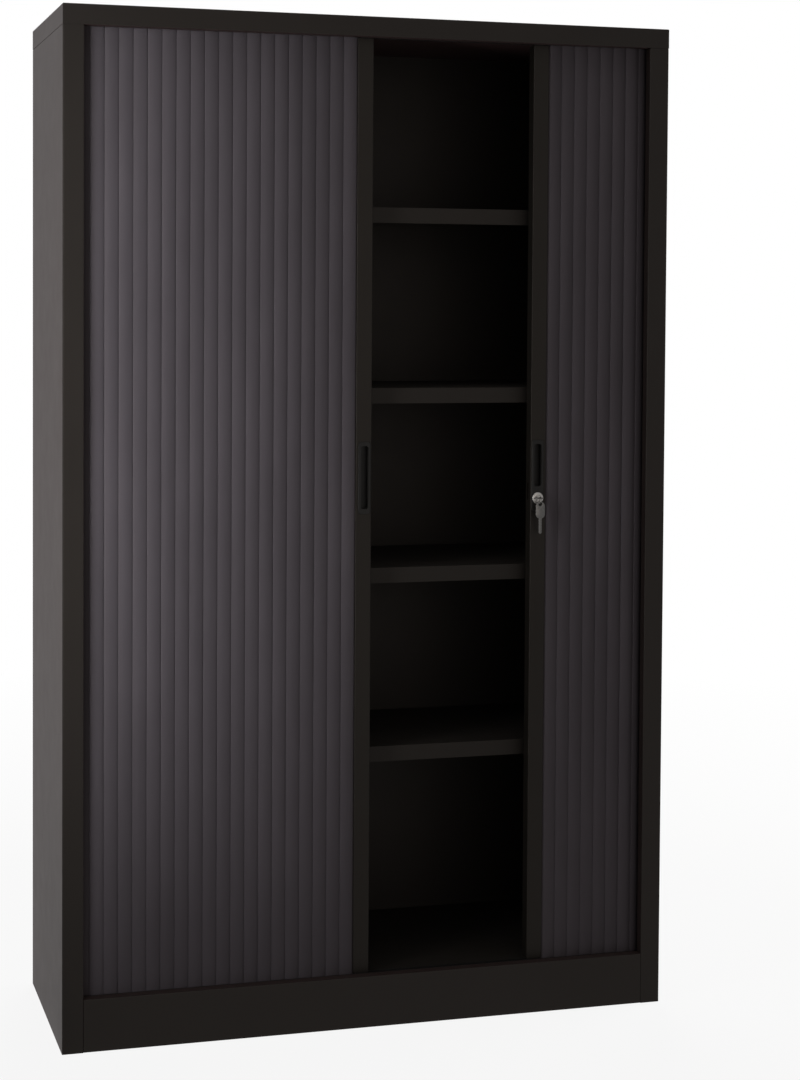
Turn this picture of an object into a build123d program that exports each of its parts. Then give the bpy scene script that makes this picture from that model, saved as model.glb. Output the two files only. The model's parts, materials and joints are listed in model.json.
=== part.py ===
from build123d import *
import math
import os

# Tall office cabinet in folded sheet steel. Two curtains of upright slats close the front: they run
# sideways in a top and a bottom track, round the front corners and back along pockets in the sides.
# Millimetres, +Z up, front towards -Y, origin on the floor under the middle of the carcass.
# The left curtain is drawn shut and the right one stands fully open.

# Carcass
WIDTH = 1200.0
DEPTH = 450.0
HEIGHT = 1950.0
SHEET = 1.0             # folded steel sheet
BEND_R = 2.0            # outside radius of a fold
SEAM = 0.3              # gap where two assembled sheets meet
ROUND_SIDES = 12        # flats round small studs, bores and key holes
STILE_W = 40.0          # face of the front post folded from each side
STILE_RETURN = 20.0     # edge of the post folded back towards the curtain
REAR_FLANGE = 15.0      # side sheet folded in behind the back panel
TOP_SKIRT = 38.0        # skirt of the top tray, and height of the top rail
SPLICE_UP = 24.0        # lips of the side panel that slip up inside the skirt
SPLICE_DOWN = 12.0      # lips below the seam
TOP_SEAM = 1.2          # open seam between the skirt and the sides
PLINTH_H = 100.0        # floor to sill
FOOT_RETURN = 20.0      # bottom edges folded inwards
BASE_FLANGE = 25.0      # down-turned edges of the base plate

# Curtain slats and the knuckles that join them
SLAT_PITCH = 27.0
SLAT_GAP = 0.6          # light gap between neighbouring faces
CURTAIN_SET = 31.0      # front of the carcass to the knuckle line
PLATE_T = 1.4           # wall of the slat face
PLATE_SET = 3.0         # knuckle line to the back of the face
CROWN = 1.5             # rise of the face from its edges to its flat middle
SHOULDER = 7.0          # curved stretch at each edge of the face
BEAD_R = 1.4
BEAD_CLEAR = 0.3
HOOK_T = 0.9            # wall of the hook round the bead
NECK_T = 1.0            # neck between face and bead
NECK_BACK = 5.5         # bead centre back to the far side of its web
BEAD_SIDES = 4          # flats round the bead
HOOK_SIDES = 4          # flats inside the hook
ROOT_ANGLE = 15.0       # where the hook leaves its root, degrees above level
MOUTH_PLAY = 9.0        # spare swing of the neck in the hook's mouth, degrees each way
CORNER_SLATS = 2        # slats that span the quarter turn
TAIL_SLATS = 1          # slats that never leave the pocket
POCKET_MIN = 18.0       # least distance from the outside of the side to the knuckle line
STOP_SPACE = 30.0       # pocket end to the back of the carcass

# Tracks
TRACK_H = 14.0
TRACK_WALL = 1.5
TRACK_FLOOR = 2.0
RUN_CLEAR = 0.3         # running clearance across the groove
END_CLEAR = 0.5         # slat end to groove floor
STOP_L = 6.0            # rubber stop at the groove's end

# Lead rails
RAIL_W = 32.0           # meeting edge to the first knuckle
RAIL_DEPTH = 28.0
RAIL_SHEET = 1.2
RAIL_PROUD = 0.7        # rail face in front of the slats
RAIL_LIP = 8.0          # edges folded in at the open back
RAIL_END = 1.5          # rail end to sill and soffit
MEETING_GAP = 1.0       # half the gap between the shut rails
GLIDE_L = 22.0
GLIDE_CAP = 6.0         # part of the glide that plugs the rail end

# Grips and lock
GRIP_LOW = 996.0
GRIP_H = 140.0
GRIP_MARGIN = 2.0       # grip plate to the edges of the rail face
GRIP_T = 2.5
GRIP_R = 6.0
GRIP_EDGE = 0.8         # bevel round the plate
CUP_W = 15.0
CUP_DEPTH = 13.0
CUP_WALL = 1.2
CUP_R = 5.0
CUP_TOP = 8.0           # plate left above the cup
LEFT_CUP_H = 122.0
RIGHT_CUP_H = 84.0
LOCK_Z = 1021.0
LOCK_INSET = 14.4       # leading face of the rail to the lock axis
BARREL_R = 8.0
ROSETTE_R = 11.8
ROSETTE_T = 3.5
ROSETTE_EDGE = 2.2      # bevel round the rosette
BARREL_L = 17.0
PLUG_R = 6.0
PLUG_CLEAR = 0.05
PLUG_SET = 1.4          # plug face behind the face of the rosette
TAIL_R = 4.0
TAIL_L = 8.0
CAM_T = 3.0
CAM_GAP = 0.5           # barrel end to cam
ARM_W = 8.0
BEAK_CLEAR = 1.3        # keeper to the beak that catches it
BEAK_W = 5.0
BEAK_DROP = 5.0
SLOT_UP = 2.5           # hook slot above the hook's tip
SLOT_DOWN = 4.6         # hook slot below the lock axis
SLOT_SIDE = 1.5         # play beside the hook in its slot
KEEPER_T = 2.0
KEEPER_EDGE = 6.0       # keeper round its slot
NUT_R = 7.0
NUT_H = 3.0

# Keys and ring
KEY_T = 2.0
KEYWAY_CLEAR = 0.1
BLADE_W = 7.4
BLADE_IN = 17.0         # blade inside the plug
BOW_W = 20.0
BOW_L = 10.7
KEY_NECK = 1.7          # plug face to the bow
KEY_HOLE_R = 2.6
HOLE_EDGE = 3.6         # hole centre to the tip of the bow
RING_R = 5.5
RING_WIRE = 1.0         # flat wire, across the ring
RING_W = 1.4            # flat wire, along the ring's axis
RING_SIDES = 20
RING_DROOP = 30.0       # lean of the hanging ring below level, degrees
HANG_GAP = 0.4          # wire to the edge of the hanging key's hole
SPARE_BOW_H = 33.0
SPARE_BOW_W = 19.0
SPARE_BOW_R = 8.5
SPARE_BLADE_H = 31.0
SPARE_BLADE_W = 7.0
BIT_STEP = 1.2          # depth of the cuts in a blade
KEY_CUTS = 5

# Inner linings, shelves and feet
LINING_GAP = 3.0        # track to lining
LINING_FLANGE = 12.0
LINING_BACK = 8.0       # lining clear of the shelf front edge
SHELF_COUNT = 4
LOWEST_SHELF = 534.0    # top face above the floor
SLOT_PITCH = 88.0       # rows of holes for the shelf clips
SHELF_SLOTS = 4         # rows between two shelves
SHELF_EDGE = 30.0
SHELF_RETURN = 16.0
SHELF_LIP = 9.0
SHELF_REAR = 24.0
SHELF_CLEAR = 14.0      # back of the lead rails to the shelves
SHELF_BACK = 10.0       # shelves to the back of the carcass
SHELF_END = 2.0         # shelf end to the lining's flanges
CLIP_T = 2.0
CLIP_W = 14.0
CLIP_REACH = 26.0
CLIP_TAIL = 2.0
CLIP_TAIL_H = 8.0
CLIP_EDGE = 4.0         # cut corners of the clip's free end
CLIP_Y = 115.0          # clip columns in front of and behind the middle
CLIP_PLAY = 1.0         # hole round the clip
HOLE_MARGIN = 110.0     # lining ends without holes
FOOT_INSET = 45.0
FOOT_PAD_R = 16.0
FOOT_PAD_H = 7.0
FOOT_HEX = 17.0         # across flats
FOOT_HEX_H = 6.0
FOOT_STUD_R = 5.0
FOOT_STUD_OVER = 6.0    # stud above the base plate
FOOT_CLEAR = 0.1
FOOT_NUT = 18.0         # across flats
FOOT_NUT_H = 9.0

# Lines that follow from the sizes above
front_y = -DEPTH / 2
back_y = DEPTH / 2
skirt_z = HEIGHT - TOP_SKIRT
bottom_track_z = PLINTH_H - TRACK_H
top_track_z = skirt_z + TRACK_H
knuckle_y = front_y + CURTAIN_SET
corner_r = SLAT_PITCH / 2 / math.sin(math.radians(45 / CORNER_SLATS))
first_knuckle = MEETING_GAP + RAIL_W
front_slats = int((WIDTH / 2 - POCKET_MIN - corner_r - first_knuckle) // SLAT_PITCH)
corner_x = first_knuckle + front_slats * SLAT_PITCH
corner_y = knuckle_y + corner_r
pocket_x = corner_x + corner_r
stop_y = back_y - STOP_SPACE
side_slats = int((stop_y - BEAD_R - corner_y) // SLAT_PITCH)
travel_slats = side_slats - TAIL_SLATS
stay_slats = front_slats - travel_slats
wrap_slats = travel_slats - CORNER_SLATS
travel = travel_slats * SLAT_PITCH
hook_r = BEAD_R + BEAD_CLEAR + HOOK_T
slat_out = PLATE_SET + PLATE_T + CROWN
groove_out = slat_out + RUN_CLEAR
groove_in = hook_r + 2 * RUN_CLEAR
track_front = knuckle_y - groove_out - TRACK_WALL
track_inner = pocket_x - groove_in - TRACK_WALL
slat_low = bottom_track_z + TRACK_FLOOR + END_CLEAR
slat_high = top_track_z - TRACK_FLOOR - END_CLEAR
rail_front = knuckle_y - slat_out - RAIL_PROUD
rail_back = rail_front + RAIL_DEPTH
rail_outer = first_knuckle - hook_r - 2 * RUN_CLEAR
rail_low = PLINTH_H + RAIL_END
rail_high = skirt_z - RAIL_END
lining_x = track_inner - LINING_GAP
lining_front = rail_back + SHELF_CLEAR + LINING_BACK
back_face = back_y - 2 * SHEET
grip_mid = (MEETING_GAP + rail_outer) / 2
grip_face = rail_front - GRIP_T
lock_x = MEETING_GAP + LOCK_INSET
beak_near = lock_x + MEETING_GAP + RAIL_SHEET + KEEPER_T + BEAK_CLEAR
beak_far = beak_near + BEAK_W
rosette_face = grip_face - ROSETTE_T
barrel_end = grip_face + BARREL_L
plug_face = rosette_face + PLUG_SET
hook_near = barrel_end + CAM_GAP
hole_y = plug_face - KEY_NECK - BOW_L + HOLE_EDGE
shelf_tops = [LOWEST_SHELF + i * SHELF_SLOTS * SLOT_PITCH for i in range(SHELF_COUNT)]

pieces = {}


def box(x0, x1, y0, y1, z0, z1):
    """Block between two corners."""
    middle = Location(((x0 + x1) / 2, (y0 + y1) / 2, (z0 + z1) / 2))
    return middle * Box(x1 - x0, y1 - y0, z1 - z0)


def folded(points, thickness=SHEET, radius=BEND_R, side=Side.LEFT):
    """Section of a folded sheet: the outer line through the points, thickened to one side."""
    outer = FilletPolyline(*points, radius=radius) if radius else Polyline(*points)
    return make_face(offset(outer, amount=thickness, kind=Kind.INTERSECTION, side=side, closed=True))


def upright(section, z0, z1):
    """A plan section drawn up between two heights."""
    return Pos(0, 0, z0) * extrude(section, amount=z1 - z0, dir=(0, 0, 1))


def crosswise(section, x0, x1):
    """A side-view section, drawn in Y and Z, carried from x0 to x1."""
    return extrude(Plane.YZ.offset(x0) * section, amount=x1 - x0, dir=(1, 0, 0))


def rod(radius, x, z, y0, y1):
    """Round bar along Y."""
    return Pos(x, (y0 + y1) / 2, z) * Cylinder(radius, y1 - y0, rotation=(90, 0, 0))


def opposite(shape):
    """The same piece on the other side of the cabinet."""
    return mirror(shape, about=Plane.YZ)


def group(shapes):
    """Separate solids that share a node."""
    return Compound(children=[solid for shape in shapes for solid in shape.solids()])


def tray(x, y0, y1, z0, z1, open_below):
    """Sheet with its four edges folded square, open above or below."""
    low = z0 - SHEET if open_below else z0 + SHEET
    high = z1 - SHEET if open_below else z1 + SHEET
    inner = box(SHEET - x, x - SHEET, y0 + SHEET, y1 - SHEET, low, high)
    return box(-x, x, y0, y1, z0, z1) - inner


def side_panel():
    """Left side: skin, front post with its return, rear flange, foot and splice lips."""
    x = -WIDTH / 2
    plan = folded([
        (x + REAR_FLANGE, back_y),
        (x, back_y),
        (x, front_y),
        (x + STILE_W, front_y),
        (x + STILE_W, front_y + STILE_RETURN),
    ])
    skin = upright(plan, 0, skirt_z - TOP_SEAM)
    foot = box(x + SHEET / 2, x + FOOT_RETURN, front_y + STILE_W, back_y - STILE_W, 0, SHEET)
    lip_x = x + SHEET
    lip_y = front_y + SHEET
    lip_z = skirt_z - SPLICE_DOWN, skirt_z + SPLICE_UP
    side_lip = box(lip_x, lip_x + SHEET, lip_y, back_y - STILE_W, *lip_z)
    post_lip = box(lip_x, x + STILE_W - BEND_R, lip_y, lip_y + SHEET, *lip_z)
    return skin + foot + side_lip + post_lip


def top_panel():
    """Tray over the carcass, with the soffit folded back from its front skirt."""
    lid = tray(WIDTH / 2, front_y, back_y, skirt_z, HEIGHT, True)
    lid = fillet(lid.faces().sort_by(Axis.Z)[-1].edges(), BEND_R)
    soffit = folded([
        (front_y + SHEET / 2, skirt_z),
        (track_front - SEAM, skirt_z),
        (track_front - SEAM, top_track_z - SEAM),
    ])
    reach = WIDTH / 2 - STILE_W - SEAM
    return lid + crosswise(soffit, -reach, reach)


def front_plinth():
    """Kick plate under the curtains, folded back at the floor and at the sill."""
    section = folded([
        (front_y + FOOT_RETURN, 0),
        (front_y, 0),
        (front_y, PLINTH_H),
        (track_front - SEAM, PLINTH_H),
        (track_front - SEAM, bottom_track_z - SHEET),
    ], side=Side.RIGHT)
    reach = WIDTH / 2 - STILE_W - SEAM
    return crosswise(section, -reach, reach)


def floor_panel():
    """Compartment floor, level with the sill, standing on folded edges."""
    y0 = knuckle_y + groove_in + TRACK_WALL + SEAM
    section = folded([
        (back_face - SEAM, bottom_track_z),
        (back_face - SEAM, PLINTH_H),
        (y0, PLINTH_H),
        (y0, bottom_track_z),
    ], radius=None)
    panel = crosswise(section, SEAM - track_inner, track_inner - SEAM)
    corner = upright(track_band(CURTAIN_SET, groove_in + TRACK_WALL + SEAM, stop_y), 0, HEIGHT)
    return panel - corner - opposite(corner)


def lining():
    """Left pocket wall, with rows of holes for the shelf clips."""
    inner = LINING_FLANGE - lining_x
    plan = folded([
        (inner, back_face - SEAM),
        (-lining_x, back_face - SEAM),
        (-lining_x, lining_front),
        (inner, lining_front),
    ], radius=None)
    wall = upright(plan, PLINTH_H, top_track_z)
    first = shelf_tops[0] - SHEET - CLIP_T / 2
    below = int((first - PLINTH_H - HOLE_MARGIN) // SLOT_PITCH)
    above = int((top_track_z - HOLE_MARGIN - first) // SLOT_PITCH)
    hole = Box(4 * SHEET, CLIP_W + 2 * CLIP_PLAY, CLIP_T + 2 * CLIP_PLAY)
    holes = [
        Pos(SHEET / 2 - lining_x, y, first + row * SLOT_PITCH) * hole
        for y in (-CLIP_Y, CLIP_Y)
        for row in range(-below, above + 1)
    ]
    return wall - holes


def shelf(top):
    """Shelf with a boxed front edge and a turned-down rear edge."""
    y0 = rail_back + SHELF_CLEAR
    y1 = back_y - SHELF_BACK
    section = folded([
        (y1, top - SHELF_REAR),
        (y1, top),
        (y0, top),
        (y0, top - SHELF_EDGE),
        (y0 + SHELF_RETURN, top - SHELF_EDGE),
        (y0 + SHELF_RETURN, top - SHELF_EDGE + SHELF_LIP),
    ], radius=None)
    reach = lining_x - LINING_FLANGE - SHELF_END
    return crosswise(section, -reach, reach)


def clip(side, y, top):
    """Flat clip through a lining hole, with its tail turned up behind the lining."""
    x0 = -lining_x - CLIP_TAIL
    x1 = SHEET + CLIP_REACH - lining_x
    y0 = y - CLIP_W / 2
    y1 = y + CLIP_W / 2
    z1 = top - SHEET
    tongue = box(x0, x1, y0, y1, z1 - CLIP_T, z1)
    tongue = chamfer(tongue.edges().filter_by(Axis.Z).group_by(Axis.X)[-1], CLIP_EDGE)
    tail = box(x0, x0 + CLIP_TAIL - SEAM, y0, y1, z1 - CLIP_T, z1 + CLIP_TAIL_H)
    piece = tongue + tail
    return piece if side < 0 else opposite(piece)


def foot(x, y):
    """Levelling foot: pad, hexagon and stud up through the base plate."""
    pad = extrude(RegularPolygon(FOOT_PAD_R, ROUND_SIDES), amount=FOOT_PAD_H)
    flats = RegularPolygon(FOOT_HEX / 2, 6, major_radius=False)
    hexagon = Pos(0, 0, FOOT_PAD_H) * extrude(flats, amount=FOOT_HEX_H)
    stud_h = bottom_track_z + FOOT_STUD_OVER - FOOT_PAD_H
    stud = Pos(0, 0, FOOT_PAD_H) * extrude(RegularPolygon(FOOT_STUD_R, ROUND_SIDES), amount=stud_h)
    return Pos(x, y, 0) * (pad + hexagon + stud)


def foot_nut(x, y):
    """Nut welded under the base plate for a foot's stud."""
    flats = RegularPolygon(FOOT_NUT / 2, 6, major_radius=False)
    bore = RegularPolygon(FOOT_STUD_R + FOOT_CLEAR, ROUND_SIDES)
    return Pos(x, y, bottom_track_z - SHEET - FOOT_NUT_H) * extrude(flats - bore, amount=FOOT_NUT_H)


def track_band(outside, inside, end_y):
    """Plan of a strip along the left curtain's way, from the middle to the pocket's end."""
    x = -corner_x
    near = -SEAM / 2
    outline = [
        Line((near, knuckle_y - outside), (x, knuckle_y - outside)),
        CenterArc((x, corner_y), corner_r + outside, 270, -90),
        Line((-pocket_x - outside, corner_y), (-pocket_x - outside, end_y)),
        Line((-pocket_x - outside, end_y), (inside - pocket_x, end_y)),
        Line((inside - pocket_x, end_y), (inside - pocket_x, corner_y)),
        CenterArc((x, corner_y), corner_r - inside, 180, 90),
        Line((x, knuckle_y + inside), (near, knuckle_y + inside)),
        Line((near, knuckle_y + inside), (near, knuckle_y - outside)),
    ]
    return make_face(outline)


def track(lower):
    """Left channel for the curtain's ends, groove up on the floor and groove down under the top."""
    z0 = bottom_track_z if lower else skirt_z
    end_y = stop_y + STOP_L
    rail = upright(track_band(groove_out + TRACK_WALL, groove_in + TRACK_WALL, end_y), z0, z0 + TRACK_H)
    floor = z0 + TRACK_FLOOR if lower else z0 - TRACK_FLOOR
    return rail - upright(track_band(groove_out, groove_in, end_y + TRACK_WALL), floor, floor + TRACK_H)


def end_stop(lower):
    """Rubber block that ends the left groove."""
    z0 = bottom_track_z + TRACK_FLOOR if lower else skirt_z
    x0 = -pocket_x - groove_out
    block = box(x0, groove_in - pocket_x, stop_y, stop_y + STOP_L, z0, z0 + TRACK_H - TRACK_FLOOR)
    return chamfer(block.edges().filter_by(Axis.Z).group_by(Axis.Y)[0], BEND_R)


def knuckle(step):
    """Knuckle point on the left curtain's way, counted in slats from the start of the corner."""
    if step <= 0:
        return Vector(-corner_x - step * SLAT_PITCH, knuckle_y)
    if step >= CORNER_SLATS:
        return Vector(-pocket_x, corner_y + (step - CORNER_SLATS) * SLAT_PITCH)
    turn = math.radians(90 * step / CORNER_SLATS)
    return Vector(-corner_x - corner_r * math.sin(turn), corner_y - corner_r * math.cos(turn))


def slat_place(step):
    """Middle and heading of the slat between one knuckle and the next."""
    a = knuckle(step)
    b = knuckle(step + 1)
    return (a + b) / 2, math.degrees(math.atan2(b.Y - a.Y, b.X - a.X))


def polar(x, y, radius, start, end, count):
    """Points evenly spread along an arc, angles in degrees."""
    turns = [math.radians(start + (end - start) * i / count) for i in range(count + 1)]
    return [(x + radius * math.cos(t), y + radius * math.sin(t)) for t in turns]


def bead_points(x, y):
    """Flat-sided bead, clockwise from the top of the neck that comes to it from -X."""
    neck = math.degrees(math.asin(NECK_T / 2 / BEAD_R))
    return polar(x, y, BEAD_R, 180 - neck, neck - 180, BEAD_SIDES)


def slat_section():
    """Slat across its length: face with round shoulders, a bead on one edge and a hook on the other."""
    half = SLAT_PITCH / 2
    edge = half - SLAT_GAP / 2
    face_top = PLATE_SET + PLATE_T
    web_x = half - NECK_BACK
    bore = BEAD_R + BEAD_CLEAR
    mouth = math.degrees(math.asin(NECK_T / 2 / bore)) + MOUTH_PLAY
    low = mouth + 90 / CORNER_SLATS - 180
    high = 180 - mouth
    inside = bore / math.cos(math.radians((high - low) / HOOK_SIDES / 2))
    lean = 2 * math.atan(CROWN / SHOULDER)
    radius = SHOULDER / math.sin(lean)
    flat = edge - SHOULDER
    crest = face_top + CROWN
    face = [
        CenterArc((-flat, crest - radius), radius, 90 + math.degrees(lean), -math.degrees(lean)),
        Line((-flat, crest), (flat, crest)),
        CenterArc((flat, crest - radius), radius, 90, -math.degrees(lean)),
    ]
    edge_line = Polyline(
        (edge, face_top),
        (edge, PLATE_SET),
        (web_x + NECK_T, PLATE_SET),
        (web_x + NECK_T, NECK_T / 2),
        *bead_points(half, 0),
        (web_x, -NECK_T / 2),
        (web_x, PLATE_SET),
        (hook_r - edge, PLATE_SET),
        *polar(-half, 0, hook_r, ROOT_ANGLE, low, 2),
        *polar(-half, 0, inside, low, high, HOOK_SIDES),
        *polar(-half, 0, hook_r, high, 90, 1),
        (-edge, PLATE_SET),
        (-edge, face_top),
    )
    return make_face([*face, edge_line])


def slats(steps):
    """Left curtain slats at the given knuckle steps."""
    section = slat_section()
    solids = []
    for step in steps:
        middle, heading = slat_place(step)
        placed = Location((middle.X, middle.Y, 0), (0, 0, heading)) * section
        solids.append(upright(placed, slat_low, slat_high))
    return group(solids)


def curtain_nodes(shift):
    """The slats of one curtain by the way they move, with the curtain drawn back by shift slats."""
    first = shift - front_slats
    counts = {"front_slats": stay_slats}
    counts |= {f"bend_slat_{i + 1}": 1 for i in range(CORNER_SLATS)}
    counts["wrap_slats"] = wrap_slats
    counts |= {f"corner_slat_{i + 1}": 1 for i in range(CORNER_SLATS)}
    counts["tail_slat"] = TAIL_SLATS
    nodes = {}
    for name, count in counts.items():
        nodes[name] = range(first, first + count)
        first += count
    return nodes


def hook_slot(x0, x1):
    """Opening through a rail's leading wall for the lock's hook."""
    y0 = hook_near - SLOT_SIDE
    return box(x0, x1, y0, hook_near + CAM_T + SLOT_SIDE, LOCK_Z - SLOT_DOWN, LOCK_Z + beak_far + SLOT_UP)


def cup_box(height, grow):
    """Block of the finger cup, grown all round."""
    high = GRIP_LOW + GRIP_H - CUP_TOP
    half = CUP_W / 2 + grow
    shape = box(
        -grip_mid - half, half - grip_mid,
        grip_face - CUP_WALL, rail_front + CUP_DEPTH + grow,
        high - height - grow, high + grow,
    )
    return fillet(shape.edges().filter_by(Axis.Y), CUP_R + grow)


def lead_rail(cup_height):
    """Left lead rail: folded channel with a rounded outer edge and a bead for the first slat."""
    leading = folded([
        (-MEETING_GAP - RAIL_LIP, rail_back),
        (-MEETING_GAP, rail_back),
        (-MEETING_GAP, rail_front),
        (RUN_CLEAR - first_knuckle, rail_front),
        (RUN_CLEAR - first_knuckle, knuckle_y - hook_r - 2 * RUN_CLEAR),
    ], RAIL_SHEET, side=Side.RIGHT)
    trailing = folded([
        (-rail_outer, rail_front + RAIL_SHEET / 2),
        (-rail_outer, rail_back),
        (RAIL_LIP - rail_outer, rail_back),
    ], RAIL_SHEET, side=Side.RIGHT)
    root = rail_outer - RAIL_SHEET / 2
    bead = mirror(make_face(Polyline(
        (root, knuckle_y + NECK_T / 2),
        *bead_points(first_knuckle, knuckle_y),
        (root, knuckle_y - NECK_T / 2),
        close=True,
    )), about=Plane.YZ)
    rail = upright(leading + trailing + bead, rail_low, rail_high)
    return rail - hook_slot(-MEETING_GAP - BEND_R, 0) - cup_box(cup_height, CUP_WALL + SEAM)


def glide(lower):
    """Left plastic glide: a plug in the rail end and a tongue in the groove."""
    y0 = knuckle_y - groove_out + RUN_CLEAR
    y1 = knuckle_y + groove_in - RUN_CLEAR
    inner = MEETING_GAP + RAIL_SHEET + SEAM
    outer = rail_outer - RAIL_SHEET - SEAM
    plug_y = rail_front + RAIL_SHEET + SEAM, rail_back - RAIL_SHEET - SEAM
    middle = (inner + outer) / 2
    if lower:
        plug = box(-outer, -inner, *plug_y, rail_low, rail_low + GLIDE_CAP)
        tongue = box(-middle - GLIDE_L / 2, GLIDE_L / 2 - middle, y0, y1, slat_low, rail_low)
    else:
        plug = box(-outer, -inner, *plug_y, rail_high - GLIDE_CAP, rail_high)
        tongue = box(-middle - GLIDE_L / 2, GLIDE_L / 2 - middle, y0, y1, rail_high, slat_high)
    return plug + chamfer(tongue.edges().filter_by(Axis.Z), BEND_R)


def grip(cup_height):
    """Left finger grip: a flat plate with a cup sunk through the rail face."""
    half = (rail_outer - MEETING_GAP) / 2 - GRIP_MARGIN
    plate = box(-grip_mid - half, half - grip_mid, grip_face, rail_front, GRIP_LOW, GRIP_LOW + GRIP_H)
    plate = fillet(plate.edges().filter_by(Axis.Y), GRIP_R)
    plate = chamfer(plate.faces().sort_by(Axis.Y)[0].edges(), GRIP_EDGE)
    shell = cup_box(cup_height, CUP_WALL) & box(
        -WIDTH, WIDTH, rail_front - GRIP_T / 2, back_y, 0, HEIGHT
    )
    return plate + shell - cup_box(cup_height, 0)


def lock_barrel():
    """Fixed lock barrel with its rosette, bored for the plug."""
    barrel = rod(BARREL_R, lock_x, LOCK_Z, grip_face, barrel_end)
    rosette = rod(ROSETTE_R, lock_x, LOCK_Z, rosette_face, grip_face)
    rosette = chamfer(rosette.faces().sort_by(Axis.Y)[0].edges(), ROSETTE_EDGE)
    return barrel + rosette - rod(PLUG_R + PLUG_CLEAR, lock_x, LOCK_Z, rosette_face, barrel_end)


def lock_plug():
    """Turning plug with a tail for the hook, slotted for the key."""
    plug = rod(PLUG_R, lock_x, LOCK_Z, plug_face, barrel_end)
    tail = rod(TAIL_R, lock_x, LOCK_Z, barrel_end, barrel_end + TAIL_L)
    half = BLADE_W / 2 + KEYWAY_CLEAR
    high = KEY_T / 2 + KEYWAY_CLEAR
    keyway = box(lock_x - half, lock_x + half, plug_face - SHEET, plug_face + BLADE_IN + KEYWAY_CLEAR,
                 LOCK_Z - high, LOCK_Z + high)
    return plug + tail - keyway


def tail_bore():
    """Hole that slips over the plug's round tail."""
    return RegularPolygon(TAIL_R + PLUG_CLEAR, ROUND_SIDES, major_radius=False)


def lock_hook():
    """Hook on the plug's tail, held upright inside the rail."""
    arm = Polyline(
        (lock_x + ARM_W / 2, LOCK_Z),
        (lock_x + ARM_W / 2, LOCK_Z + beak_far),
        (lock_x - ARM_W / 2 - BEAK_DROP, LOCK_Z + beak_far),
        (lock_x - ARM_W / 2 - BEAK_DROP, LOCK_Z + beak_near),
        (lock_x - ARM_W / 2, LOCK_Z + beak_near),
        (lock_x - ARM_W / 2, LOCK_Z),
        close=True,
    )
    boss = RegularPolygon(TAIL_R + BEND_R, ROUND_SIDES)
    outline = make_face(arm) + Pos(lock_x, LOCK_Z) * boss - Pos(lock_x, LOCK_Z) * tail_bore()
    flat = Plane((0, hook_near + CAM_T, 0), x_dir=(1, 0, 0), z_dir=(0, -1, 0)) * outline
    return extrude(flat, amount=CAM_T, dir=(0, -1, 0))


def hook_nut():
    """Nut that holds the hook on the tail."""
    y0 = hook_near + CAM_T
    flats = RegularPolygon(NUT_R, 6) - tail_bore()
    flat = Plane((lock_x, y0 + NUT_H, LOCK_Z), x_dir=(1, 0, 0), z_dir=(0, -1, 0)) * flats
    return extrude(flat, amount=NUT_H, dir=(0, -1, 0))


def keeper():
    """Plate behind the left rail's leading wall that the hook catches."""
    x1 = -MEETING_GAP - RAIL_SHEET
    y0 = rail_front + BEND_R + SEAM
    y1 = rail_back - BEND_R - SEAM
    low = LOCK_Z - SLOT_DOWN - KEEPER_EDGE
    high = LOCK_Z + beak_far + SLOT_UP + KEEPER_EDGE
    return box(x1 - KEEPER_T, x1, y0, y1, low, high) - hook_slot(x1 - 2 * KEEPER_T, 0)


def bit_cuts(width, length, count):
    """Notches along the edge of a key blade that points along +X from the origin."""
    step = length / (count + 1)
    return [
        Pos((i + 1) * step, width / 2) * RegularPolygon(BIT_STEP, 4)
        for i in range(count)
    ]


def door_key():
    """Key in the plug, lying level, with a rounded bow."""
    bow_root = plug_face - KEY_NECK
    bow = Pos(0, bow_root - BOW_L / 2) * RectangleRounded(BOW_W, BOW_L, BOW_L / 2 - SEAM)
    bow = bow - Pos(0, hole_y) * RegularPolygon(KEY_HOLE_R, ROUND_SIDES)
    shank_l = KEY_NECK + BLADE_IN
    shank = Pos(0, bow_root + shank_l / 2) * Rectangle(BLADE_W, shank_l)
    cuts = [Pos(0, plug_face) * Rot(0, 0, 90) * c for c in bit_cuts(BLADE_W, BLADE_IN, KEY_CUTS)]
    outline = Pos(lock_x, 0) * (bow + shank - cuts)
    return upright(outline, LOCK_Z - KEY_T / 2, LOCK_Z + KEY_T / 2)


def ring_centre():
    """Middle of the hanging ring."""
    droop = math.radians(RING_DROOP)
    return Vector(lock_x, hole_y - RING_R * math.cos(droop), LOCK_Z - RING_R * math.sin(droop))


def key_ring():
    """Flat wire ring through the key's bow."""
    centre = ring_centre()
    outside = RegularPolygon(RING_R + RING_WIRE / 2, RING_SIDES)
    inside = RegularPolygon(RING_R - RING_WIRE / 2, RING_SIDES)
    ring = extrude(outside - inside, amount=RING_W / 2, both=True)
    return Location((centre.X, centre.Y, centre.Z), (0, 90, 0)) * ring


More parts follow.
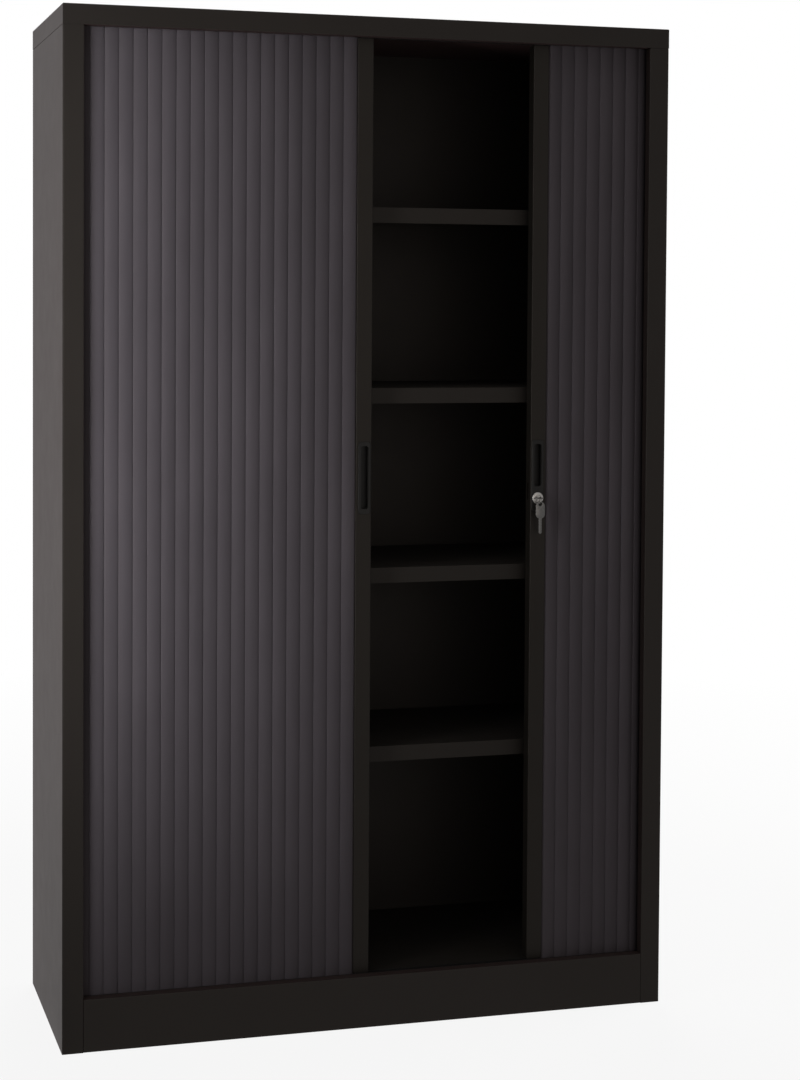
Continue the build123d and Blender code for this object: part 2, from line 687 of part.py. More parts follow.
def spare_key():
    """Second key, hanging from the ring with its bow up and its flat to the front."""
    centre = ring_centre()
    hole_z = centre.Z - RING_R + RING_WIRE / 2 + HANG_GAP - KEY_HOLE_R
    top = hole_z + HOLE_EDGE
    bow = Pos(0, top - SPARE_BOW_H / 2) * RectangleRounded(SPARE_BOW_W, SPARE_BOW_H, SPARE_BOW_R)
    bow = bow - Pos(0, hole_z) * RegularPolygon(KEY_HOLE_R, ROUND_SIDES)
    low = top - SPARE_BOW_H
    blade = Pos(0, low - SPARE_BLADE_H / 2 + SHEET) * Rectangle(SPARE_BLADE_W, SPARE_BLADE_H + 2 * SHEET)
    cuts = [Pos(0, low) * Rot(0, 0, -90) * c for c in bit_cuts(SPARE_BLADE_W, SPARE_BLADE_H, KEY_CUTS)]
    outline = Pos(centre.X, 0) * (bow + blade - cuts)
    flat = Plane((0, centre.Y + KEY_T / 2, 0), x_dir=(1, 0, 0), z_dir=(0, -1, 0)) * outline
    return extrude(flat, amount=KEY_T, dir=(0, -1, 0))


# Carcass
pieces["left_side_panel"] = side_panel()
pieces["right_side_panel"] = opposite(side_panel())
pieces["top_panel"] = top_panel()
pieces["back_panel"] = box(
    BEND_R + SEAM - WIDTH / 2, WIDTH / 2 - BEND_R - SEAM,
    back_face, back_y - SHEET, 0, skirt_z + SPLICE_UP,
)
pieces["front_plinth"] = front_plinth()
foot_spots = [
    (x * (WIDTH / 2 - FOOT_INSET), y * (DEPTH / 2 - FOOT_INSET))
    for y in (-1, 1)
    for x in (-1, 1)
]
base_half = WIDTH / 2 - SHEET - SEAM
stud_side = 2 * (FOOT_STUD_R + FOOT_CLEAR)
stud_holes = [Pos(x, y, bottom_track_z) * Box(stud_side, stud_side, 4 * SHEET) for x, y in foot_spots]
pieces["base_plate"] = tray(
    base_half, track_front, back_face - SEAM, bottom_track_z - BASE_FLANGE, bottom_track_z, True
) - stud_holes
pieces["ceiling_plate"] = tray(
    base_half - SHEET, track_front, back_face - SEAM, top_track_z, HEIGHT - SHEET, False
)
pieces["floor_panel"] = floor_panel()
pieces["left_lining"] = lining()
pieces["right_lining"] = opposite(lining())
for end, lower in (("lower", True), ("upper", False)):
    pieces[f"left_{end}_track"] = track(lower)
    pieces[f"right_{end}_track"] = opposite(track(lower))
left_stops = [end_stop(lower) for lower in (True, False)]
pieces["end_stops"] = group(left_stops + [opposite(stop) for stop in left_stops])

# Shelves and feet
for number, top in enumerate(shelf_tops, start=1):
    pieces[f"shelf_{number}"] = shelf(top)
pieces["shelf_clips"] = group(
    clip(side, y, top) for top in shelf_tops for side in (-1, 1) for y in (-CLIP_Y, CLIP_Y)
)
foot_names = ["front_left_foot", "front_right_foot", "rear_left_foot", "rear_right_foot"]
for name, (x, y) in zip(foot_names, foot_spots):
    pieces[name] = foot(x, y)
pieces["foot_nuts"] = group(foot_nut(x, y) for x, y in foot_spots)

# Left curtain, shut
for name, steps in curtain_nodes(0).items():
    pieces[f"left_{name}"] = slats(steps)
pieces["left_lead_rail"] = lead_rail(LEFT_CUP_H)
pieces["left_glides"] = group(glide(lower) for lower in (True, False))
pieces["left_grip"] = grip(LEFT_CUP_H)
pieces["keeper_plate"] = keeper()

# Right curtain, open: its rail and lock are the shut ones moved back by the travel
for name, steps in curtain_nodes(travel_slats).items():
    pieces[f"right_{name}"] = opposite(slats(steps))
opened = Pos(travel, 0, 0)
lock_hole = rod(BARREL_R + SEAM, lock_x, LOCK_Z, grip_face - SHEET, rail_front + 2 * RAIL_SHEET)
pieces["right_lead_rail"] = opened * (opposite(lead_rail(RIGHT_CUP_H)) - lock_hole)
pieces["right_glides"] = group(opened * opposite(glide(lower)) for lower in (True, False))
pieces["right_grip"] = opened * (opposite(grip(RIGHT_CUP_H)) - lock_hole)
pieces["lock_barrel"] = opened * lock_barrel()
pieces["lock_plug"] = opened * lock_plug()
pieces["lock_hook"] = opened * lock_hook()
pieces["hook_nut"] = opened * hook_nut()
pieces["door_key"] = opened * door_key()
pieces["key_ring"] = opened * key_ring()
pieces["spare_key"] = opened * spare_key()

os.makedirs("parts", exist_ok=True)
for name, shape in pieces.items():
    export_step(shape, f"parts/{name}.step")
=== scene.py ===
import json
import math

import bmesh
import bpy
from mathutils import Euler, Matrix, Vector


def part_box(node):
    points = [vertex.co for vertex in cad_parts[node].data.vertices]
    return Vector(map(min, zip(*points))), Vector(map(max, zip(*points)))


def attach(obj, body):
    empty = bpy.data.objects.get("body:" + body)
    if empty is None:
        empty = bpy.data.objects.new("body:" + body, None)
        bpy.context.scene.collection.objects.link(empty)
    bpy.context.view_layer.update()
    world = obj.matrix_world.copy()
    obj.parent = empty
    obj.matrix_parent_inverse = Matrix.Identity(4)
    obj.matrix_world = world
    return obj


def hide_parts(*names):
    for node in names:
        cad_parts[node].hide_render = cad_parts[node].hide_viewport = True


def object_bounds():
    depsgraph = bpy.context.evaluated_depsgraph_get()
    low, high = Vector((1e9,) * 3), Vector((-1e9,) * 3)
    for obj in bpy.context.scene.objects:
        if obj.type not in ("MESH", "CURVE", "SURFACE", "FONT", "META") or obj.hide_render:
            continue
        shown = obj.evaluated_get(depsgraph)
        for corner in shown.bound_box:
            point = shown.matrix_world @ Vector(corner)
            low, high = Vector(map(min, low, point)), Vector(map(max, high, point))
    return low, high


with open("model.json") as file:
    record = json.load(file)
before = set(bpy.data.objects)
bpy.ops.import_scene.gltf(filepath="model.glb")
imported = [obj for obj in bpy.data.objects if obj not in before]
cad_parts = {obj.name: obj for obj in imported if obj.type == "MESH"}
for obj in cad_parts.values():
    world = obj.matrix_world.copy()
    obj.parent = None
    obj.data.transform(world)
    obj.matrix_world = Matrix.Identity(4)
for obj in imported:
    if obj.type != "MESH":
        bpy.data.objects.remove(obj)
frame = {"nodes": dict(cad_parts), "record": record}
cad_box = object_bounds()
MM = 0.001

# Curtain way and slat section, in millimetres, as in the solids
PITCH = 27.0
FRONT_SLATS = 19
CORNER_SLATS = 2
TRAVEL_SLATS = 12
STAY_SLATS = FRONT_SLATS - TRAVEL_SLATS
WRAP_SLATS = TRAVEL_SLATS - CORNER_SLATS
FIRST_KNUCKLE_X = 33.0
CORNER_X = FIRST_KNUCKLE_X + FRONT_SLATS * PITCH
KNUCKLE_Y = -194.0
CORNER_R = PITCH / 2 / math.sin(math.radians(45 / CORNER_SLATS))
CORNER_Y = KNUCKLE_Y + CORNER_R
POCKET_X = CORNER_X + CORNER_R
SLAT_LOW = 88.5
SLAT_HIGH = 1923.5
FACE_HALF = 13.2
FACE_BACK = 3.0
FACE_EDGE = 3.6
CROWN = 2.3
EDGE_R = 0.55
BEAD_R = 1.4
NECK = 1.0
NECK_BACK = 5.5
HOOK_IN = 1.7
HOOK_OUT = 2.6

# Hook angles, in degrees, and the points on each round of the section
HOOK_ROOT = 15.0
MOUTH_PLAY = 9.0
EDGE_STEPS = 5
CROWN_STEPS = 16
ROUND_STEPS = 14
HOOK_STEPS = 8
LIP_STEPS = 5


def new_mesh(name, bm, material, smooth_angle=35.0):
    """Object from a bmesh, smooth except at edges sharper than the angle."""
    bmesh.ops.recalc_face_normals(bm, faces=bm.faces)
    mesh = bpy.data.meshes.new(name)
    bm.to_mesh(mesh)
    bm.free()
    mesh.polygons.foreach_set("use_smooth", [True] * len(mesh.polygons))
    mesh.set_sharp_from_angle(angle=math.radians(smooth_angle))
    mesh.materials.append(material)
    obj = bpy.data.objects.new(name, mesh)
    bpy.context.scene.collection.objects.link(obj)
    return obj


# Materials

# Warm reflection tints and a reddish sheen tint: painted warm reflection, standing in for warm light round
# the object
PAINT_WARM_REFLECTION_TINT = (1.0, 0.90, 0.83)
SHEEN_ROUGH = 0.5
SHEEN_WARM_REFLECTION_TINT = (1.0, 0.55, 0.56, 1)
SLAT_WARM_REFLECTION_TINT = (1.0, 0.88, 0.80)


def node(tree, kind, **sockets):
    """Shader node with socket values set by name."""
    made = tree.nodes.new(kind)
    for key, value in sockets.items():
        made.inputs[key.replace("_", " ")].default_value = value
    return made


def shader(name, metallic=0.0, specular=0.5, reflection_tint=(1.0, 1.0, 1.0)):
    """New material, its tree and its main shader."""
    material = bpy.data.materials.new(name)
    material.use_nodes = True
    tree = material.node_tree
    bsdf = tree.nodes["Principled BSDF"]
    bsdf.inputs["Metallic"].default_value = metallic
    bsdf.inputs["Specular IOR Level"].default_value = specular
    # A warm tint here colours the reflections: painted warm reflection
    bsdf.inputs["Specular Tint"].default_value = (*reflection_tint, 1)
    return material, tree, bsdf


def noise(tree, scale, detail=3.0, stretch=(1.0, 1.0, 1.0)):
    """Noise in object space, stretched along the axes."""
    coords = tree.nodes.new("ShaderNodeTexCoord")
    mapping = tree.nodes.new("ShaderNodeMapping")
    mapping.inputs["Scale"].default_value = stretch
    tree.links.new(coords.outputs["Object"], mapping.inputs["Vector"])
    texture = node(tree, "ShaderNodeTexNoise", Scale=scale, Detail=detail, Roughness=0.55)
    tree.links.new(mapping.outputs["Vector"], texture.inputs["Vector"])
    return texture.outputs["Fac"]


def mottle(tree, bsdf, value, low, high, dark, light):
    """Base colour that drifts from dark to light between two noise levels."""
    ramp = tree.nodes.new("ShaderNodeValToRGB")
    ramp.color_ramp.elements[0].position = low
    ramp.color_ramp.elements[1].position = high
    ramp.color_ramp.elements[0].color = (*dark, 1)
    ramp.color_ramp.elements[1].color = (*light, 1)
    tree.links.new(value, ramp.inputs["Fac"])
    tree.links.new(ramp.outputs["Color"], bsdf.inputs["Base Color"])


def polish(tree, bsdf, value, low, high):
    """Roughness that drifts with a noise between two levels."""
    made = node(tree, "ShaderNodeMapRange", To_Min=low, To_Max=high)
    tree.links.new(value, made.inputs["Value"])
    tree.links.new(made.outputs["Result"], bsdf.inputs["Roughness"])


def bump(tree, bsdf, height, strength, distance):
    """Bump on top of any that the shader already has."""
    made = node(tree, "ShaderNodeBump", Strength=strength, Distance=distance)
    tree.links.new(height, made.inputs["Height"])
    before = bsdf.inputs["Normal"].links
    if before:
        tree.links.new(before[0].from_socket, made.inputs["Normal"])
    tree.links.new(made.outputs["Normal"], bsdf.inputs["Normal"])


def tint(colour, factor):
    return tuple(c * factor for c in colour)


def powder_coat(name, colour, rough, specular, sheen=0.0):
    """Satin powder coat: fine orange peel, faint cloudiness and a trace of handling; its reflections and
    sheen are tinted warm as painted warm reflection.
    """
    material, tree, bsdf = shader(name, specular=specular, reflection_tint=PAINT_WARM_REFLECTION_TINT)
    # Reddish sheen at grazing angles: painted warm reflection
    bsdf.inputs["Sheen Weight"].default_value = sheen
    bsdf.inputs["Sheen Roughness"].default_value = SHEEN_ROUGH
    bsdf.inputs["Sheen Tint"].default_value = SHEEN_WARM_REFLECTION_TINT
    cloud = noise(tree, scale=5.0, detail=5.0)
    handling = noise(tree, scale=24.0, detail=4.0)
    peel = noise(tree, scale=620.0, detail=2.0)
    grain = noise(tree, scale=1900.0, detail=1.0)
    mottle(tree, bsdf, cloud, low=0.3, high=0.7, dark=tint(colour, 0.85), light=tint(colour, 1.18))
    polish(tree, bsdf, handling, low=rough - 0.04, high=rough + 0.04)
    bump(tree, bsdf, peel, strength=0.07, distance=0.0004)
    bump(tree, bsdf, grain, strength=0.06, distance=0.0002)
    return material


def extruded_plastic(name, colour, rough):
    """Extruded plastic with fine lines along its length; its reflections are tinted warm as painted warm
    reflection.
    """
    material, tree, bsdf = shader(name, specular=0.06, reflection_tint=SLAT_WARM_REFLECTION_TINT)
    lines = noise(tree, scale=900.0, stretch=(1.0, 1.0, 0.004))
    cloud = noise(tree, scale=7.0, stretch=(1.0, 1.0, 0.3))
    grain = noise(tree, scale=1400.0, detail=2.0)
    mottle(tree, bsdf, cloud, low=0.3, high=0.7, dark=tint(colour, 0.9), light=tint(colour, 1.12))
    polish(tree, bsdf, lines, low=rough - 0.06, high=rough + 0.06)
    bump(tree, bsdf, lines, strength=0.12, distance=0.0003)
    bump(tree, bsdf, grain, strength=0.05, distance=0.0002)
    return material


def moulded_plastic(name, colour, rough):
    """Moulded plastic with a fine spark-eroded grain."""
    material, tree, bsdf = shader(name, specular=0.1)
    grain = noise(tree, scale=1500.0)
    wear = noise(tree, scale=90.0)
    mottle(tree, bsdf, grain, low=0.35, high=0.65, dark=tint(colour, 0.85), light=tint(colour, 1.2))
    polish(tree, bsdf, wear, low=rough - 0.06, high=rough + 0.06)
    bump(tree, bsdf, grain, strength=0.2, distance=0.0003)
    return material


def plated(name, colour, rough, grain=(1.0, 1.0, 1.0), scratch=0.12):
    """Plated metal with fine scratches and slightly uneven polish."""
    material, tree, bsdf = shader(name, metallic=1.0)
    wear = noise(tree, scale=260.0, detail=4.0)
    scratches = noise(tree, scale=2600.0, detail=2.0, stretch=grain)
    mottle(tree, bsdf, wear, low=0.3, high=0.75, dark=tint(colour, 0.82), light=colour)
    polish(tree, bsdf, scratches, low=rough - 0.08, high=rough + 0.1)
    bump(tree, bsdf, scratches, strength=scratch, distance=0.0001)
    return material


carcass_black = (0.0046, 0.0039, 0.0033)
shelf_black = (0.0092, 0.0080, 0.0070)
rail_black = (0.0072, 0.0062, 0.0052)
slat_grey = (0.0582, 0.0520, 0.0590)
track_black = (0.012, 0.012, 0.012)
grip_black = (0.0090, 0.0084, 0.0078)
rubber_black = (0.010, 0.010, 0.010)
zinc = (0.56, 0.56, 0.54)
# Lock and key nickel, darker than bare nickel: partly dull plating, partly painted shade for dark
# surroundings reflected in the metal
dull_nickel_painted_shade = (0.24, 0.228, 0.214)
dark_nickel_painted_shade = (0.075, 0.072, 0.069)
looks = {
    "carcass_paint": powder_coat("carcass_powder", carcass_black, rough=0.54, specular=0.172, sheen=0.030),
    "shelf_paint": powder_coat("shelf_powder", shelf_black, rough=0.48, specular=0.11),
    "rail_paint": powder_coat("rail_powder", rail_black, rough=0.46, specular=0.12),
    "slat_plastic": extruded_plastic("slat_plastic", slat_grey, rough=0.46),
    "track_plastic": extruded_plastic("track_plastic", track_black, rough=0.50),
    "grip_plastic": moulded_plastic("grip_plastic", grip_black, rough=0.40),
    "stop_rubber": moulded_plastic("stop_rubber", rubber_black, rough=0.75),
    "zinc_steel": plated("zinc_plate", zinc, rough=0.38),
    # Lock and key nickels carry painted shade in their darkened colours
    "lock_nickel": plated("lock_nickel", dull_nickel_painted_shade, rough=0.28, scratch=0.06),
    "key_nickel": plated("key_nickel", dark_nickel_painted_shade, rough=0.24, grain=(1.0, 1.0, 0.1)),
}
slot_of = {s["node"]: s["material_slot"] for s in frame["record"]["subparts"]}
for name, obj in frame["nodes"].items():
    obj.data.materials.clear()
    obj.data.materials.append(looks[slot_of[name]])


# Slats, rounder than the solids

def arc(x, y, radius, start, end, count):
    """Points on an arc about (x, y), from one angle to another in degrees."""
    turns = [math.radians(start + (end - start) * i / count) for i in range(count + 1)]
    return [(x + radius * math.cos(t), y + radius * math.sin(t)) for t in turns]


def slat_profile():
    """Closed outline of a slat, clockwise: crowned face with eased edges, bead and hook."""
    radius = (FACE_HALF**2 + CROWN**2) / 2 / CROWN
    centre = FACE_EDGE + CROWN - radius
    corner_x = FACE_HALF - EDGE_R
    corner_y = centre + math.sqrt((radius - EDGE_R) ** 2 - corner_x**2)
    lean = math.degrees(math.atan2(corner_x, corner_y - centre))
    half = PITCH / 2
    web = half - NECK_BACK
    neck = math.degrees(math.asin(NECK / 2 / BEAD_R))
    mouth = math.degrees(math.asin(NECK / 2 / HOOK_IN)) + MOUTH_PLAY
    low = mouth + 90 / CORNER_SLATS - 180
    high = 180 - mouth
    return [
        *arc(-corner_x, corner_y, EDGE_R, 180, 90 + lean, EDGE_STEPS),
        *arc(0, centre, radius, 90 + lean, 90 - lean, CROWN_STEPS)[1:],
        *arc(corner_x, corner_y, EDGE_R, 90 - lean, 0, EDGE_STEPS)[1:],
        (FACE_HALF, FACE_BACK),
        (web + NECK, FACE_BACK),
        (web + NECK, NECK / 2),
        *arc(half, 0, BEAD_R, 180 - neck, neck - 180, ROUND_STEPS),
        (web, -NECK / 2),
        (web, FACE_BACK),
        (HOOK_OUT - FACE_HALF, FACE_BACK),
        *arc(-half, 0, HOOK_OUT, HOOK_ROOT, low, HOOK_STEPS),
        *arc(-half, 0, HOOK_IN, low, high, ROUND_STEPS),
        *arc(-half, 0, HOOK_OUT, high, 90, LIP_STEPS),
        (-FACE_HALF, FACE_BACK),
    ]


def knuckle(step):
    """Knuckle point on the left curtain's way, counted in slats from the start of the corner."""
    if step <= 0:
        return Vector((-CORNER_X - step * PITCH, KNUCKLE_Y))
    if step >= CORNER_SLATS:
        return Vector((-POCKET_X, CORNER_Y + (step - CORNER_SLATS) * PITCH))
    turn = math.radians(90 * step / CORNER_SLATS)
    return Vector((-CORNER_X - CORNER_R * math.sin(turn), CORNER_Y - CORNER_R * math.cos(turn)))


def slat_group(name, steps, side):
    """One object for the slats of a node."""
    profile = slat_profile()
    count = len(profile)
    bm = bmesh.new()
    for step in steps:
        a = knuckle(step)
        b = knuckle(step + 1)
        middle = (a + b) / 2
        along = (b - a).normalized()
        across = Vector((-along.y, along.x))
        points = [middle + along * u + across * v for u, v in profile]
        rings = []
        for z in (SLAT_LOW, SLAT_HIGH):
            rings.append([bm.verts.new((side * p.x * MM, p.y * MM, z * MM)) for p in points])
        for i in range(count):
            j = (i + 1) % count
            bm.faces.new((rings[0][i], rings[0][j], rings[1][j], rings[1][i]))
        bm.faces.new(rings[0])
        bm.faces.new(rings[1])
    piece = new_mesh(name + "_face", bm, looks["slat_plastic"])
    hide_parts(name)
    return piece


slat_counts = [("front_slats", STAY_SLATS)]
slat_counts += [(f"bend_slat_{i + 1}", 1) for i in range(CORNER_SLATS)]
slat_counts += [("wrap_slats", WRAP_SLATS)]
slat_counts += [(f"corner_slat_{i + 1}", 1) for i in range(CORNER_SLATS)]
slat_counts += [("tail_slat", 1)]
for side_name, side, shift in (("left", 1, 0), ("right", -1, TRAVEL_SLATS)):
    first = shift - FRONT_SLATS
    for kind, count in slat_counts:
        name = f"{side_name}_{kind}"
        piece = slat_group(name, range(first, first + count), side)
        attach(piece, f"{side_name}_door" if kind == "front_slats" else name)
        first += count


# Lock, keys and fasteners, finer than the solids, in millimetres

KEY_T = 2.0
KEY_EASE = 0.6
KEY_HOLE = 3.6
HOLE_EDGE = 4.6
KEY_CUTS = 5
CUT_DEPTH = 1.2
FIRST_CUT = 0.7
BOW_STEPS = 8
HOLE_STEPS = 36
DOME_STEPS = 9
DOOR_KEY = {"bow_w": 20.0, "bow_l": 10.7, "bow_r": 5.05, "blade_w": 7.4, "blade_l": 18.7}
SPARE_KEY = {"bow_w": 19.0, "bow_l": 33.0, "bow_r": 8.5, "blade_w": 7.0, "blade_l": 31.0}
RING_WIRE = 0.34
RING_CLEAR = 0.1
RING_TURNS = 2
RING_STEPS = 48
RIVET_HEAD = 4.0
RIVET_RISE = 0.85
RIVET_ROWS = 8
RIVET_END = 60.0


def lathe(name, outline, centre, material, count=72):
    """Ring turned about a line along Y through the centre, from a closed outline of (radius, y)."""
    bm = bmesh.new()
    rings = []
    for i in range(count):
        t = 2 * math.pi * i / count
        x = math.cos(t)
        z = math.sin(t)
        rings.append([bm.verts.new((centre.x + r * x, y, centre.z + r * z)) for r, y in outline])
    for i in range(count):
        a = rings[i]
        b = rings[(i + 1) % count]
        for j in range(len(outline)):
            k = (j + 1) % len(outline)
            bm.faces.new((a[j], a[k], b[k], b[j]))
    return new_mesh(name, bm, material, smooth_angle=30.0)


def box_of(name):
    """Lowest corner, highest corner and middle of a node's box."""
    lo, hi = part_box(name)
    return lo, hi, (lo + hi) / 2


def lock_rosette():
    """Barrel with a domed rosette round the plug."""
    lo, hi, middle = box_of("lock_barrel")
    radius = (hi.x - lo.x) / 2
    bore = 6.05 * MM
    barrel = 8.0 * MM
    thick = 3.5 * MM
    dome = 2.9 * MM
    crest = 7.4 * MM
    ease = 0.4 * MM
    quarter = arc(0, 0, 1, 270, 360, DOME_STEPS)
    outline = [(bore, hi.y), (bore, lo.y + ease), (bore + ease, lo.y)]
    outline += [(crest + (radius - crest) * x, lo.y + dome * (1 + y)) for x, y in quarter]
    outline += [(radius, lo.y + thick), (barrel, lo.y + thick), (barrel, hi.y)]
    piece = lathe("lock_rosette", outline, middle, looks["lock_nickel"])
    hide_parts("lock_barrel")
    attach(piece, "right_door")


def key_outline(bow_w, bow_l, bow_r, blade_w, blade_l):
    """Key seen flat, bow at the top with its tip at the origin, blade pointing down."""
    half = blade_w / 2
    side = bow_w / 2 - bow_r
    root = bow_l
    start = -90.0
    if half > side:
        # The blade meets the bow on its lower rounds
        start = -math.degrees(math.acos((half - side) / bow_r))
        root = bow_l - bow_r - bow_r * math.sin(math.radians(start))
    tip = bow_l + blade_l
    shoulder = half - tip
    pitch = blade_l / (KEY_CUTS + 1)
    right = [(0.0, -tip), (half, shoulder)]
    for i in range(KEY_CUTS):
        middle = shoulder + pitch * (i + FIRST_CUT)
        right += [(half, middle - CUT_DEPTH), (half - CUT_DEPTH, middle), (half, middle + CUT_DEPTH)]
    right += [(half, -root)]
    bow = arc(side, bow_r - bow_l, bow_r, start, 0, BOW_STEPS)
    bow += arc(side, -bow_r, bow_r, 0, 90, BOW_STEPS)
    mirrored = [(-x, y) for x, y in reversed(bow)]
    return right + bow + mirrored + [(-half, -root), (-half, shoulder)]


def curve_mesh(curve, merge):
    """Mesh of a curve with its doubled points merged, as a bmesh. The curve goes."""
    shape = bpy.data.objects.new(curve.name + "_shape", curve)
    mesh = bpy.data.meshes.new_from_object(shape)
    bm = bmesh.new()
    bm.from_mesh(mesh)
    bmesh.ops.remove_doubles(bm, verts=bm.verts, dist=merge)
    bpy.data.objects.remove(shape)
    bpy.data.curves.remove(curve)
    bpy.data.meshes.remove(mesh)
    return bm


def key_blank(node_name, body, outline, place):
    """Flat key with eased edges and a round hole, in place of its node."""
    name = node_name + "_cut"
    curve = bpy.data.curves.new(name, "CURVE")
    curve.dimensions = "2D"
    curve.fill_mode = "BOTH"
    curve.extrude = (KEY_T / 2 - KEY_EASE) * MM
    curve.bevel_depth = KEY_EASE * MM
    curve.bevel_resolution = 2
    curve.offset = -KEY_EASE * MM
    hole = arc(0, -HOLE_EDGE, KEY_HOLE, 0, 360, HOLE_STEPS)[:-1]
    for points in (outline, hole):
        spline = curve.splines.new("POLY")
        spline.points.add(len(points) - 1)
        spline.use_cyclic_u = True
        for point, (x, y) in zip(spline.points, points):
            point.co = (x * MM, y * MM, 0, 1)
    bm = curve_mesh(curve, merge=1e-6)
    bmesh.ops.transform(bm, matrix=place, verts=bm.verts)
    piece = new_mesh(name, bm, looks["key_nickel"], smooth_angle=40.0)
    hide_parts(node_name)
    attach(piece, body)


def split_ring():
    """Double-turn wire ring in place of the plain ring."""
    lo, hi, middle = box_of("key_ring")
    wire = RING_WIRE * MM
    reach = (hi.x - lo.x) / 2 - wire
    radius = (hi.z - lo.z) / 2 - wire - RING_CLEAR * MM
    count = RING_STEPS * RING_TURNS
    curve = bpy.data.curves.new("key_ring_wire", "CURVE")
    curve.dimensions = "3D"
    curve.bevel_depth = wire
    curve.bevel_resolution = 3
    curve.use_fill_caps = True
    spline = curve.splines.new("POLY")
    spline.points.add(count)
    for i, point in enumerate(spline.points):
        t = 2 * math.pi * RING_TURNS * i / count
        x = middle.x + reach * (2 * i / count - 1)
        point.co = (x, middle.y + radius * math.cos(t), middle.z + radius * math.sin(t), 1)
    bm = curve_mesh(curve, merge=1e-7)
    piece = new_mesh("key_ring_wire", bm, looks["key_nickel"], smooth_angle=40.0)
    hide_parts("key_ring")
    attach(piece, "key")


lock_rosette()
lo, hi, middle = box_of("door_key")
lying = Matrix.Translation((middle.x, lo.y, middle.z)) @ Matrix.Diagonal((1, -1, -1, 1))
key_blank("door_key", "key", key_outline(**DOOR_KEY), lying)
lo, hi, middle = box_of("spare_key")
hanging = Matrix.Translation((middle.x, middle.y, hi.z)) @ Matrix.Rotation(math.pi / 2, 4, "X")
key_blank("spare_key", "spare_key", key_outline(**SPARE_KEY), hanging)
split_ring()


def back_rivets():
    """Pop rivets through the back panel into the rear flanges of the pocket walls."""
    rings = 5
    sides = 20
    turns = [2 * math.pi * i / sides for i in range(sides)]
    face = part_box("back_panel")[1].y
    lo, hi, middle = box_of("left_lining")
    bottom = lo.z + RIVET_END * MM
    top = hi.z - RIVET_END * MM
    bm = bmesh.new()
    for side in (-1, 1):
        for row in range(RIVET_ROWS):
            x = side * middle.x
            z = bottom + (top - bottom) * row / (RIVET_ROWS - 1)
            loops = []
            for k in range(rings):
                lean = math.pi / 2 * k / rings
                r = RIVET_HEAD * MM * math.cos(lean)
                y = face + RIVET_RISE * MM * math.sin(lean)
                loops.append([bm.verts.new((x + r * math.cos(t), y, z + r * math.sin(t))) for t in turns])
            for a, b in zip(loops, loops[1:]):
                for i in range(sides):
                    j = (i + 1) % sides
                    bm.faces.new((a[i], a[j], b[j], b[i]))
            bm.faces.new(loops[0])
            bm.faces.new(loops[-1])
    piece = new_mesh("back_rivets", bm, looks["carcass_paint"], smooth_angle=50.0)
    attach(piece, "carcass")


back_rivets()


# Stage, in metres

FLOOR_SHARE = 0.90
FADE_NEAR = 1.3
FADE_FAR = 4.0
FLOOR_GREY = (0.62, 0.62, 0.62, 1)
FLOOR_REACH = 40.0
FLOOR_DROP = 0.0005
COVER_INSET = 0.004
WHITE = (1, 1, 1, 1)


def seen_ray(tree):
    """One where a ray comes from the camera, a reflection or a transparent surface."""
    path = tree.nodes.new("ShaderNodeLightPath")
    either = path.outputs["Is Camera Ray"]
    for kind in ("Is Glossy Ray", "Is Transmission Ray"):
        both = tree.nodes.new("ShaderNodeMath")
        both.operation = "MAXIMUM"
        tree.links.new(either, both.inputs[0])
        tree.links.new(path.outputs[kind], both.inputs[1])
        either = both.outputs[0]
    return either


def floor_material(name):
    """Pale matt floor, with its tree, its shader and its output."""
    material = bpy.data.materials.new(name)
    material.use_nodes = True
    tree = material.node_tree
    tree.nodes.clear()
    out = tree.nodes.new("ShaderNodeOutputMaterial")
    diffuse = node(tree, "ShaderNodeBsdfDiffuse", Color=FLOOR_GREY)
    tree.links.new(diffuse.outputs[0], out.inputs["Surface"])
    return material, tree, diffuse, out


def open_floor():
    """Floor that the eye sees as white, with the object's shadow kept round its foot."""
    material, tree, diffuse, out = floor_material("floor_white")
    coords = tree.nodes.new("ShaderNodeTexCoord")
    away = tree.nodes.new("ShaderNodeVectorMath")
    away.operation = "LENGTH"
    tree.links.new(coords.outputs["Object"], away.inputs[0])
    white = node(tree, "ShaderNodeMapRange", From_Min=FADE_NEAR, From_Max=FADE_FAR, To_Min=FLOOR_SHARE)
    tree.links.new(away.outputs["Value"], white.inputs["Value"])
    share = tree.nodes.new("ShaderNodeMath")
    share.operation = "MULTIPLY"
    tree.links.new(seen_ray(tree), share.inputs[0])
    tree.links.new(white.outputs["Result"], share.inputs[1])
    glow = node(tree, "ShaderNodeEmission", Color=WHITE, Strength=1.0)
    mix = tree.nodes.new("ShaderNodeMixShader")
    tree.links.new(share.outputs[0], mix.inputs["Fac"])
    tree.links.new(diffuse.outputs[0], mix.inputs[1])
    tree.links.new(glow.outputs[0], mix.inputs[2])
    tree.links.new(mix.outputs[0], out.inputs["Surface"])
    return material


def floor():
    """Wide level floor, with a matt patch just inside the object's outline."""
    lo, hi = cad_box
    columns = (-FLOOR_REACH, lo[0] + COVER_INSET, hi[0] - COVER_INSET, FLOOR_REACH)
    rows = (-FLOOR_REACH, lo[1] + COVER_INSET, hi[1] - COVER_INSET, FLOOR_REACH)
    bm = bmesh.new()
    grid = [[bm.verts.new((x, y, -FLOOR_DROP)) for x in columns] for y in rows]
    for j in range(3):
        for i in range(3):
            face = bm.faces.new((grid[j][i], grid[j][i + 1], grid[j + 1][i + 1], grid[j + 1][i]))
            face.material_index = 1 if i == j == 1 else 0
    made = new_mesh("floor", bm, open_floor())
    made.data.materials.append(floor_material("floor_covered")[0])
    return made


floor()


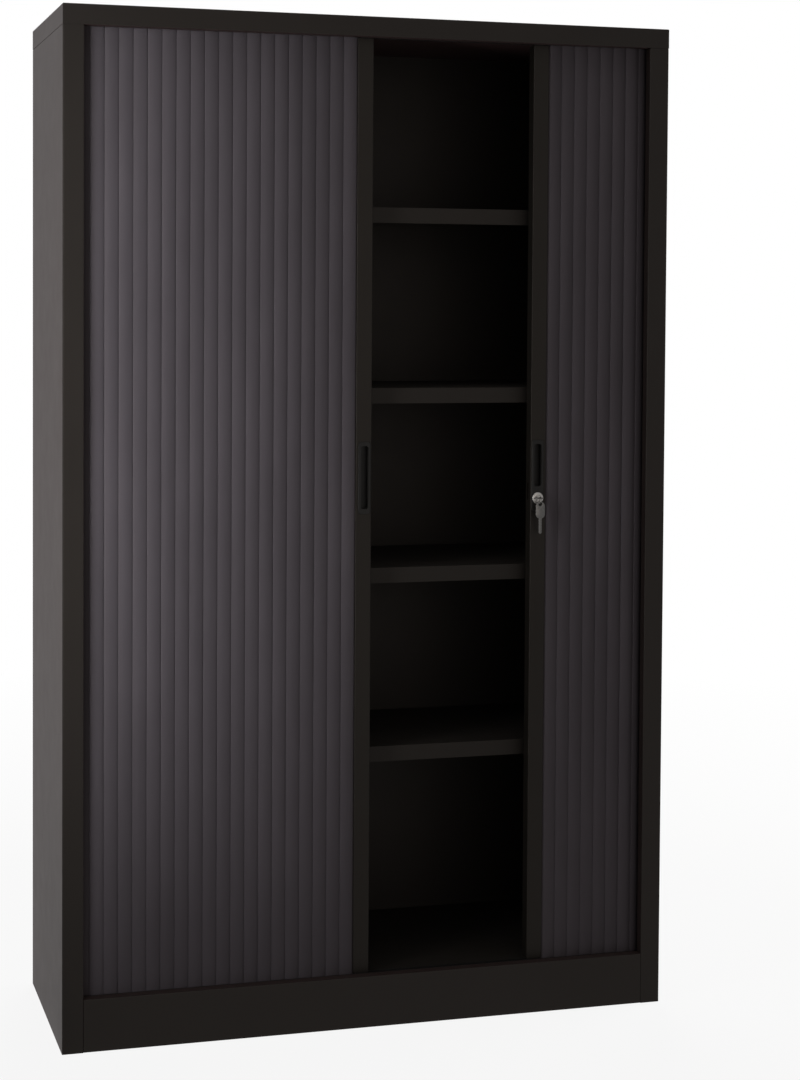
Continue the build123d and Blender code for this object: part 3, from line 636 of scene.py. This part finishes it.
def area(name, place, target, size, power, spread=180.0, colour=(1.0, 1.0, 1.0)):
    """Soft box aimed at a point."""
    data = bpy.data.lights.new(name, "AREA")
    data.shape = "RECTANGLE"
    data.size, data.size_y = size
    data.energy = power
    data.color = colour
    data.spread = math.radians(spread)
    lamp = bpy.data.objects.new(name, data)
    lamp.location = place
    lamp.rotation_euler = (Vector(target) - Vector(place)).to_track_quat("-Z", "Y").to_euler()
    lamp.visible_camera = False
    bpy.context.scene.collection.objects.link(lamp)


WARM = (1.0, 0.90, 0.82)
area("key_box", (-1.02, -0.80, 1.25), (-0.50, -0.20, 1.21), size=(0.35, 1.6), power=5.9, spread=95)
area("fill_box", (0.3, -4.6, 1.5), (-0.2, 0.0, 1.0), size=(2.4, 2.4), power=17, colour=WARM)
area("top_box", (-0.2, -1.0, 4.0), (0.0, -0.1, 1.0), size=(2.4, 1.6), power=12)
area("right_box", (4.2, 1.0, 2.0), (0.6, 0.0, 1.0), size=(2.0, 2.0), power=90)
area("rear_box", (0.8, 3.6, 3.8), (0.0, 0.1, 1.4), size=(2.4, 2.0), power=140)

AIR = (1.0, 0.86, 0.76, 1)
AIR_LEVEL = 0.07


def studio_world():
    """White to the eye and in reflections, dim and warm as light."""
    world = bpy.data.worlds.new("studio")
    bpy.context.scene.world = world
    world.use_nodes = True
    tree = world.node_tree
    dim = tree.nodes["Background"]
    dim.inputs["Color"].default_value = AIR
    dim.inputs["Strength"].default_value = AIR_LEVEL
    white = node(tree, "ShaderNodeBackground", Color=WHITE, Strength=1.0)
    choice = tree.nodes.new("ShaderNodeMixShader")
    tree.links.new(seen_ray(tree), choice.inputs["Fac"])
    tree.links.new(dim.outputs[0], choice.inputs[1])
    tree.links.new(white.outputs[0], choice.inputs[2])
    tree.links.new(choice.outputs[0], tree.nodes["World Output"].inputs["Surface"])


studio_world()

# Camera fitted to the carcass corners: metres, degrees, and pixels of an 800 x 1080 frame
CAMERA_PLACE = (-1.1456, -4.2829, 1.4069)
CAMERA_YAW = -16.391
CAMERA_PITCH = -2.171
CAMERA_ROLL = -0.371
FRAME_HEIGHT = 1080
FOCAL_LENGTH = 2198.94
OPTICAL_AXIS = 385.0
SENSOR = 36.0


def photo_camera():
    """Nearly level camera to the left of the object, with the frame shifted down."""
    data = bpy.data.cameras.new("camera")
    camera = bpy.data.objects.new("camera", data)
    bpy.context.scene.collection.objects.link(camera)
    bpy.context.scene.camera = camera
    turn = Matrix.Rotation(math.radians(CAMERA_YAW), 3, "Z")
    turn = turn @ Matrix.Rotation(math.radians(CAMERA_PITCH), 3, "X")
    turn = turn @ Matrix.Rotation(math.radians(CAMERA_ROLL), 3, "Y")
    camera.location = CAMERA_PLACE
    camera.rotation_euler = (turn @ Euler((math.pi / 2, 0, 0)).to_matrix()).to_euler()
    data.sensor_fit = "VERTICAL"
    data.sensor_height = SENSOR
    data.lens = FOCAL_LENGTH / FRAME_HEIGHT * SENSOR
    data.shift_y = (OPTICAL_AXIS - FRAME_HEIGHT / 2) / FRAME_HEIGHT


photo_camera()
bpy.context.scene.view_settings.view_transform = "Standard"
